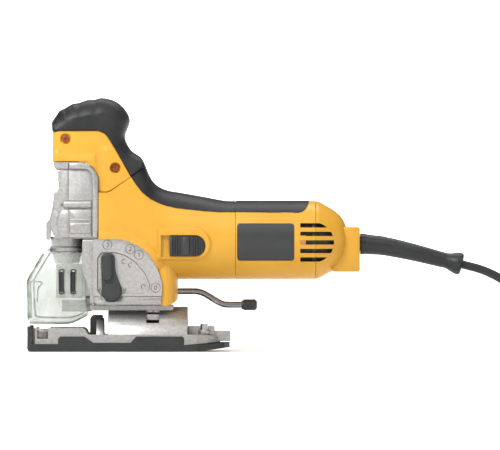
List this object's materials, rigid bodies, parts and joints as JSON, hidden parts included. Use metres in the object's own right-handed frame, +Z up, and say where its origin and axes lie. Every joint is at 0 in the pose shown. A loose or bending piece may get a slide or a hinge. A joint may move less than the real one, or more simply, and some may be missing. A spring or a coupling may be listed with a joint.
{
  "type": "jigsaw power tool",
  "caption": "Corded barrel-grip jigsaw with a soft-gripped yellow housing, cast gear case, clear guard, orbit selector and a tilting shoe with black sole.",
  "frame": {"origin": "on the sole plane at the front of the blade's path, in the mid-plane", "axes": "+X to the rear along the motor, +Y to the operator's right as the saw cuts towards -X, +Z up"},
  "size_m": [0.5036, 0.13, 0.2057],
  "materials": {
    "yellow_plastic": "smooth, moulded",
    "soft_grip": "soft, finely grained",
    "black_plastic": "fine matt",
    "cast_alloy": "as cast, blasted",
    "steel": "machined",
    "screw_steel": "dark, dull",
    "chrome": "polished",
    "bronze": "sintered",
    "copper": "turned",
    "circuit_board": "potted",
    "clear_plastic": "clear, slightly tinted",
    "cord_rubber": "matt"
  },
  "bodies": {
    "housing": {"head_shell_left": "yellow_plastic", "head_shell_right": "yellow_plastic", "body_shell_left": "yellow_plastic", "body_shell_right": "yellow_plastic", "motor_housing": "yellow_plastic", "end_cap": "yellow_plastic", "label_plate": "black_plastic", "head_grip": "soft_grip", "spine_grip_front": "soft_grip", "spine_grip_rear": "soft_grip", "shell_screws": "screw_steel", "gear_case": "cast_alloy", "gear_plate": "cast_alloy", "lower_casting": "cast_alloy", "selector_plate": "cast_alloy", "finger_guard": "cast_alloy", "tilt_seat": "cast_alloy", "upper_bush": "bronze", "lower_bush": "bronze", "crank_shaft": "steel", "front_bridge": "black_plastic", "rear_bridge": "black_plastic", "field_stator": "steel", "brush_holders": "copper", "front_bearing": "steel", "rear_bearing": "steel", "pinion_bush": "bronze", "switch_module": "black_plastic", "electronics_module": "circuit_board", "cord_clamp": "black_plastic", "clamp_plate": "steel", "fork_pin": "steel", "lever_pin": "steel", "guard_pin": "steel", "strain_relief": "cord_rubber", "cord_lead": "cord_rubber", "cord_coil": "cord_rubber", "plug": "cord_rubber"},
    "plunger": {"plunger": "steel", "yoke": "steel", "blade_clamp": "steel"},
    "crank_gear": {"crank_gear": "steel"},
    "armature": {"armature": "steel", "armature_core": "steel", "commutator": "copper", "fan": "black_plastic"},
    "orbit_selector": {"orbit_selector": "black_plastic"},
    "orbit_fork": {"orbit_fork": "steel"},
    "guide_roller": {"guide_roller": "steel"},
    "blade_lever": {"blade_lever": "cast_alloy"},
    "dust_guard": {"dust_guard": "clear_plastic"},
    "switch_slider": {"switch_slider": "black_plastic", "switch_link": "black_plastic"},
    "bevel_lever": {"bevel_lever": "chrome", "bevel_lever_cap": "black_plastic"},
    "shoe": {"shoe_casting": "cast_alloy", "sole_cover": "black_plastic", "dust_spout": "cast_alloy", "spout_screws": "steel"}
  },
  "joints": [
    {"name": "plunger_stroke", "type": "slide", "parent": "housing", "child": "plunger", "axis": [0, 0, 1], "range_m": [-0.013, 0.013]},
    {"name": "motor_spin", "type": "hinge", "parent": "housing", "child": "armature", "pos_m": [0.1, 0, 0.0903], "axis": [1, 0, 0], "continuous": true},
    {"name": "crank_spin", "type": "hinge", "parent": "housing", "child": "crank_gear", "pos_m": [0.025, 0, 0.11655], "axis": [1, 0, 0], "continuous": true},
    {"name": "orbit_select", "type": "hinge", "parent": "housing", "child": "orbit_selector", "pos_m": [0.0428, -0.028, 0.0486], "axis": [0, 1, 0], "range_deg": [0, 90.5]},
    {"name": "orbit_swing", "type": "hinge", "parent": "housing", "child": "orbit_fork", "pos_m": [0.0244, 0, 0.076], "axis": [0, 1, 0], "range_deg": [0, 3], "stiffness_Nm_per_rad": 0.6, "springref_deg": -2.86},
    {"name": "roller_spin", "type": "hinge", "parent": "orbit_fork", "child": "guide_roller", "pos_m": [0.0196, 0, 0.0356], "axis": [0, 1, 0], "continuous": true},
    {"name": "blade_release", "type": "hinge", "parent": "housing", "child": "blade_lever", "pos_m": [-0.003, 0, 0.1209], "axis": [0, 1, 0], "range_deg": [0, 60], "stiffness_Nm_per_rad": 0.05, "springref_deg": -17.19},
    {"name": "guard_swing", "type": "hinge", "parent": "housing", "child": "dust_guard", "pos_m": [-0.0086, 0, 0.0823], "axis": [0, 1, 0], "range_deg": [0, 70]},
    {"name": "switch_slide", "type": "slide", "parent": "housing", "child": "switch_slider", "axis": [-1, 0, 0], "range_m": [0, 0.0067]},
    {"name": "bevel_clamp_turn", "type": "hinge", "parent": "housing", "child": "bevel_lever", "pos_m": [0.09, 0, 0.0486], "axis": [1, 0, 0], "range_deg": [0, 100]},
    {"name": "shoe_bevel", "type": "hinge", "parent": "housing", "child": "shoe", "pos_m": [0.06, 0, 0.003], "axis": [1, 0, 0], "range_deg": [-45, 45]}
  ],
  "couplings": [
    {"joint": "crank_spin", "follows": "motor_spin", "ratio": -0.16667}
  ]
}
